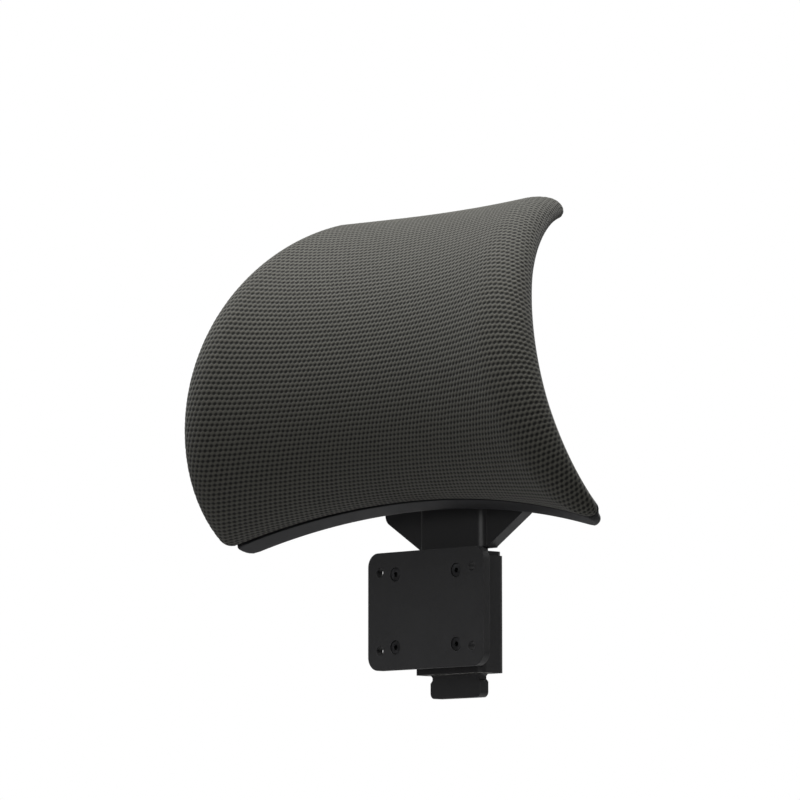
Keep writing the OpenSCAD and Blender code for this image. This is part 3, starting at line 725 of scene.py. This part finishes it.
# ---------------------------------------------------------------- carrier pan, inside the cover
PAN = dict(PAD, w_top=PAD["w_top"] - 7, w_mid=PAD["w_mid"] - 6, w_low=PAD["w_low"] - 6.5,
           v_top=PAD["v_top"] - 6.5, v_low=PAD["v_low"] - 6.5, r_top=9.0, r_low=10.0)
PAN_BACK, PAN_FRONT = 1.7, 4.7  # how far the pan's faces lie in front of the hem's back face
INSERT_HALF_X, INSERT_HALF_Z, INSERT_DEPTH, INSERT_RISE = 34.0, 24.0, 9.0, 6.0
ROD_R, ROD_LENGTH, ROD_ROOT = 4.6, 6.0, 1.5
PAN_ROUND = 1.2  # width of the rounding at the pan's edge

pan_sides = outline_sides(PAN)
pan_v = PAN["v_top"] + PAN["arch_top"] + PAN["v_low"] - PAN["arch_low"]
a, b = np.meshgrid(spread([], 2 * PAN["w_mid"], GRID_STEP), spread([], pan_v, GRID_STEP))
uv = coons(pan_sides, a, b)
d, _ = edge_grid(uv, pan_sides)
p, n = mid_surface(uv[..., 0], uv[..., 1])
near, far = depth_to_hem(p, n, PAN_FRONT), depth_to_hem(p, n, PAN_BACK)
middle, round_edge = (near + far) / 2, rounded(d, PAN_ROUND)
near, far = middle + (near - middle) * round_edge, middle + (far - middle) * round_edge
verts, faces = closed_from_grids((p - n * near[..., None]) * MM, (p - n * far[..., None]) * MM, 1)
pan = new_mesh("carrier_pan_moulded", verts.tolist(), faces)
pan.data.materials.append(M["pan_plastic"])
bm = bmesh.new()
bm.from_mesh(pan.data)
block_y = REAR_CENTRE[0] - HEM_R - PAN_FRONT - INSERT_RISE + INSERT_DEPTH / 2
add_block(bm, (0, block_y, REAR_CENTRE[1]), (INSERT_HALF_X, INSERT_DEPTH / 2, INSERT_HALF_Z))
pan_y = screw_y(PAN_FRONT)
for z in BOSS_Z:
    for side in (-1, 1):
        add_boss(bm, side * BOSS_X, z, pan_y - ROD_LENGTH, pan_y + ROD_ROOT, ROD_R)
bm.to_mesh(pan.data)
bm.free()
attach(pan, "pad")
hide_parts("carrier_pan")


# ---------------------------------------------------------------- studio
def area_light(name, where, look_at, size, power, spread):
    """A rectangular area light aimed at a point; power in watts, spread in degrees."""
    data = bpy.data.lights.new(name, "AREA")
    data.shape = "RECTANGLE"
    data.size, data.size_y = size
    data.energy = power
    data.spread = math.radians(spread)
    ob = bpy.data.objects.new(name, data)
    bpy.context.scene.collection.objects.link(ob)
    ob.location = where
    ob.rotation_mode = "QUATERNION"
    ob.rotation_quaternion = (Vector(look_at) - Vector(where)).to_track_quat("-Z", "Y")


PAD_MIDDLE = (0, -0.03, 0.17)
area_light("top_soft", (0, -0.2, 1.75), PAD_MIDDLE, (2.0, 2.0), 38, 110)
area_light("front_fill", (0.6, -2.6, 0.5), PAD_MIDDLE, (2.4, 1.6), 7.5, 120)
area_light("back_fill", (0.2, 2.6, 0.9), PAD_MIDDLE, (2.4, 1.6), 5, 120)

world = bpy.data.worlds.new("studio")
bpy.context.scene.world = world
world.use_nodes = True
tree = world.node_tree
tree.nodes.clear()
out = tree.nodes.new("ShaderNodeOutputWorld")
seen = node(tree, "Background", Strength=1.0)
seen.inputs["Color"].default_value = (1, 1, 1, 1)
lit = node(tree, "Background", Strength=0.17)
lit.inputs["Color"].default_value = (1, 1, 1, 1)
path = tree.nodes.new("ShaderNodeLightPath")
mix = tree.nodes.new("ShaderNodeMixShader")
tree.links.new(path.outputs["Is Camera Ray"], mix.inputs[0])
tree.links.new(lit.outputs[0], mix.inputs[1])
tree.links.new(seen.outputs[0], mix.inputs[2])
tree.links.new(mix.outputs[0], out.inputs[0])

view_settings = bpy.context.scene.view_settings
view_settings.view_transform = "Standard"
view_settings.look = "None"

FLOOR_Z, FLOOR_HALF = -0.5, 6
CORNERS = ((-1, -1), (1, -1), (1, 1), (-1, 1))
floor_mesh = bpy.data.meshes.new("floor")
floor_mesh.from_pydata([(x * FLOOR_HALF, y * FLOOR_HALF, FLOOR_Z) for x, y in CORNERS], [], [(0, 1, 2, 3)])
floor = bpy.data.objects.new("floor", floor_mesh)
bpy.context.scene.collection.objects.link(floor)
# the floor is bright to the camera, and dim to the light that it bounces up
floor_mat, tree, shader, where = blank("pale_floor")
tone = mix_colour(tree, noise(tree, where, 3, 4), (0.42, 0.42, 0.42), (0.45, 0.45, 0.45))
tree.links.new(tone, shader.inputs["Base Color"])
shader.inputs["Roughness"].default_value = 0.9
shader.inputs["Emission Color"].default_value = (1, 1, 1, 1)
shader.inputs["Emission Strength"].default_value = 0.62
dim = node(tree, "BsdfDiffuse")
dim.inputs["Color"].default_value = (0.3, 0.3, 0.3, 1)
path = tree.nodes.new("ShaderNodeLightPath")
mix = tree.nodes.new("ShaderNodeMixShader")
tree.links.new(path.outputs["Is Camera Ray"], mix.inputs[0])
tree.links.new(dim.outputs[0], mix.inputs[1])
tree.links.new(shader.outputs[0], mix.inputs[2])
tree.links.new(mix.outputs[0], tree.nodes["Material Output"].inputs[0])
floor_mesh.materials.append(floor_mat)
